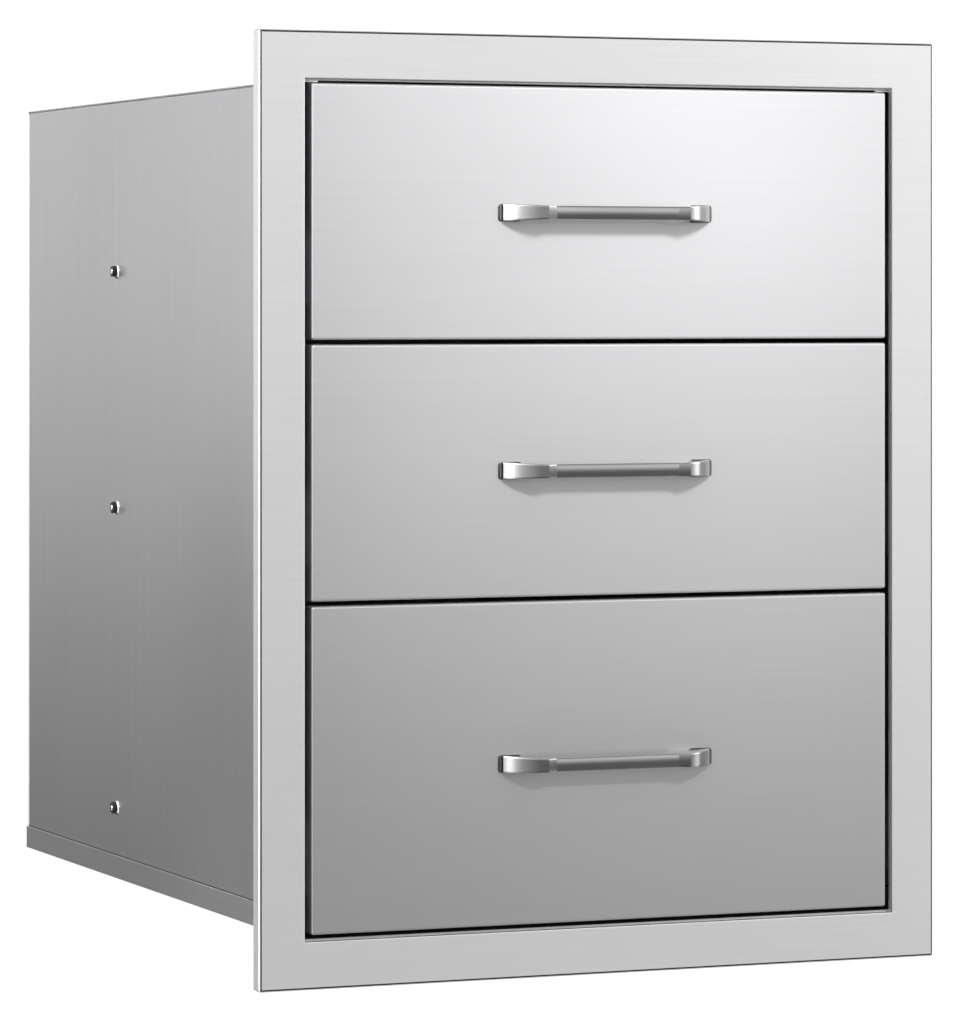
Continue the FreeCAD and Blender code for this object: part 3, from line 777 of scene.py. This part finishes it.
for n in drawers:
    screws, rivets = bmesh.new(), bmesh.new()
    for side, sign in sides.items():
        inner, middle = "slide_inner_%s_%d" % (side, n), "slide_middle_%s_%d" % (side, n)
        innerWeb = min(abs(corner.x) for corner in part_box(inner)) + slideWall
        middleWeb = max(abs(corner.x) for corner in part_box(middle)) - slideWall
        addHeads(screws, "screw", inner, sign * innerWeb, sign)
        addHeads(rivets, "rivet", middle, sign * middleWeb, -sign)
    newPiece("tray_slide_screws_%d" % n, screws, ["fastenerSteel"], "drawer_%d" % n)
    newPiece("runner_rivets_%d" % n, rivets, ["fastenerSteel"], "runner_%d" % n)
print("stage 11: slide screws and rivets")

# floor: the steel doesn't reflect it

floorSpec = {"drop": 0.5, "reach": 30.0, "grit": 3.0, "dark": (0.92, 0.92, 0.92), "light": (0.94, 0.94, 0.94),
             "rough": 0.9}
mesh = bmesh.new()
bmesh.ops.create_grid(mesh, x_segments=1, y_segments=1, size=floorSpec["reach"])
bmesh.ops.translate(mesh, vec=(0, 0, cadBox[0].z - floorSpec["drop"]), verts=mesh.verts)
floor = addObject("floor", meshData("floor", mesh))
paint = Finish("paleFloor")
pale = paint.mixed(paint.noise((floorSpec["grit"],) * 3), floorSpec["dark"], floorSpec["light"])
floor.data.materials.append(paint.surface("ShaderNodeBsdfPrincipled", {
    "Base Color": pale, "Roughness": floorSpec["rough"]}))
floor.visible_glossy = False

# a tent of white cloth round the unit: only the steel's reflections see it
# around runs from the rear by the left, front and right to the rear again, and upright from below to above

tentSpec = {
    "radius": 6.0, "segments": 96, "rings": 48, "most": 6.0,
    "around": [(0.0, 0.0), (0.09, 0.0), (0.12, 0.8), (0.15, 2.6), (0.18, 5.0), (0.268, 5.0), (0.284, 2.3),
               (0.305, 1.37), (0.324, 0.98), (0.357, 0.68), (0.385, 0.42), (0.405, 0.40), (0.43, 0.42),
               (0.52, 0.39), (0.56, 0.44), (0.585, 0.58), (0.62, 1.3), (0.66, 1.3), (0.68, 0.55),
               (0.70, 0.50), (0.718, 0.60), (0.733, 1.7), (0.744, 2.9), (0.775, 2.9), (0.80, 0.5),
               (0.82, 0.3), (0.86, 0.8), (0.93, 0.8), (0.955, 0.1), (0.97, 0.0)],
    "upright": [(0.0, 0.30), (0.40, 0.45), (0.444, 0.47), (0.466, 0.52), (0.483, 0.57), (0.4915, 0.68),
                (0.509, 0.94), (0.5225, 1.08), (0.535, 1.15), (0.557, 1.22), (0.575, 1.8), (0.62, 2.4),
                (0.70, 2.2), (0.76, 1.2), (0.84, 0.6), (0.90, 0.2), (1.0, 0.1)],
    "rearAround": [(0.0, 0.40), (0.075, 0.40), (0.11, 0.1), (0.16, 0.0), (0.93, 0.0), (0.97, 0.42),
                   (1.0, 0.42)],
    "rearUpright": [(0.0, 0.1), (0.44, 0.15), (0.4554, 0.17), (0.471, 0.185), (0.486, 0.27), (0.509, 0.88),
                    (0.5325, 1.35), (0.557, 1.35), (0.65, 1.4), (0.8, 0.3), (1.0, 0.1)],
}
mesh = bmesh.new()
bmesh.ops.create_uvsphere(mesh, u_segments=tentSpec["segments"], v_segments=tentSpec["rings"],
                          radius=tentSpec["radius"])
tent = addObject("tent", meshData("tent", mesh))
cloth = Finish("tentCloth")
x, y, z = (cloth.value("ShaderNodeSeparateXYZ", {}, {"Vector": cloth.place}, axis) for axis in "XYZ")
around = x.maths("ARCTAN2", x, -1.0 * y) / math.tau + 0.5
upright = z / (2 * tentSpec["radius"]) + 0.5


# a ramp reaches 1 at most, so the levels are divided first
def levelOf(value, stops):
    most = tentSpec["most"]
    return cloth.ramp(value, [(position, level / most) for position, level in tentSpec[stops]]) * most


front = levelOf(around, "around") * levelOf(upright, "upright")
rear = levelOf(around, "rearAround") * levelOf(upright, "rearUpright")
tent.data.materials.append(cloth.surface("ShaderNodeEmission", {"Color": front + rear}))
tent.visible_camera = tent.visible_diffuse = tent.visible_shadow = False
tent.visible_transmission = tent.visible_volume_scatter = False
print("stage 12: floor and tent")

# a white world lights all, and a soft spot only the fronts and the handles

worldSpec = {"colour": (1.0, 1.0, 1.0, 1.0), "strength": 1.1}
world = bpy.data.worlds.new("studio")
bpy.context.scene.world = world
world.use_nodes = True
world.node_tree.nodes["Background"].inputs["Color"].default_value = worldSpec["colour"]
world.node_tree.nodes["Background"].inputs["Strength"].default_value = worldSpec["strength"]

spotSpec = {"at": (0.0, -2.35, 1.62), "aim": (0.08, 0.0, 0.49), "radius": 0.25, "cone": 14.6, "blend": 0.7,
            "power": 625.0}
spotData = bpy.data.lights.new("frontSpot", "SPOT")
spotData.shadow_soft_size = spotSpec["radius"]
spotData.spot_size = math.radians(spotSpec["cone"])
spotData.spot_blend = spotSpec["blend"]
spotData.energy = spotSpec["power"]
spot = addObject("frontSpot", spotData)
spot.location = spotSpec["at"]
spot.rotation_euler = (Vector(spotSpec["aim"]) - Vector(spotSpec["at"])).to_track_quat("-Z", "Y").to_euler()
lit = bpy.data.collections.new("litBySpot")
for n in drawers:
    for name in ("drawer_front_folded_%d" % n, "handle_bow_%d" % n):
        lit.objects.link(bpy.data.objects[name])
spot.light_linking.receiver_collection = lit

cameraSpec = {"at": (-1.23614, -2.85485, 0.38858), "turn": 22.067, "lens": 174.89, "shiftY": -0.20433,
              "clipEnd": 60.0}
cameraData = bpy.data.cameras.new("camera")
cameraData.lens = cameraSpec["lens"]
cameraData.shift_y = cameraSpec["shiftY"]
cameraData.clip_end = cameraSpec["clipEnd"]
camera = addObject("camera", cameraData)
camera.location = cameraSpec["at"]
camera.rotation_euler = (math.radians(90), 0, -math.radians(cameraSpec["turn"]))
bpy.context.scene.camera = camera
bpy.context.scene.view_settings.view_transform = "Standard"
print("stage 13: lights and camera")
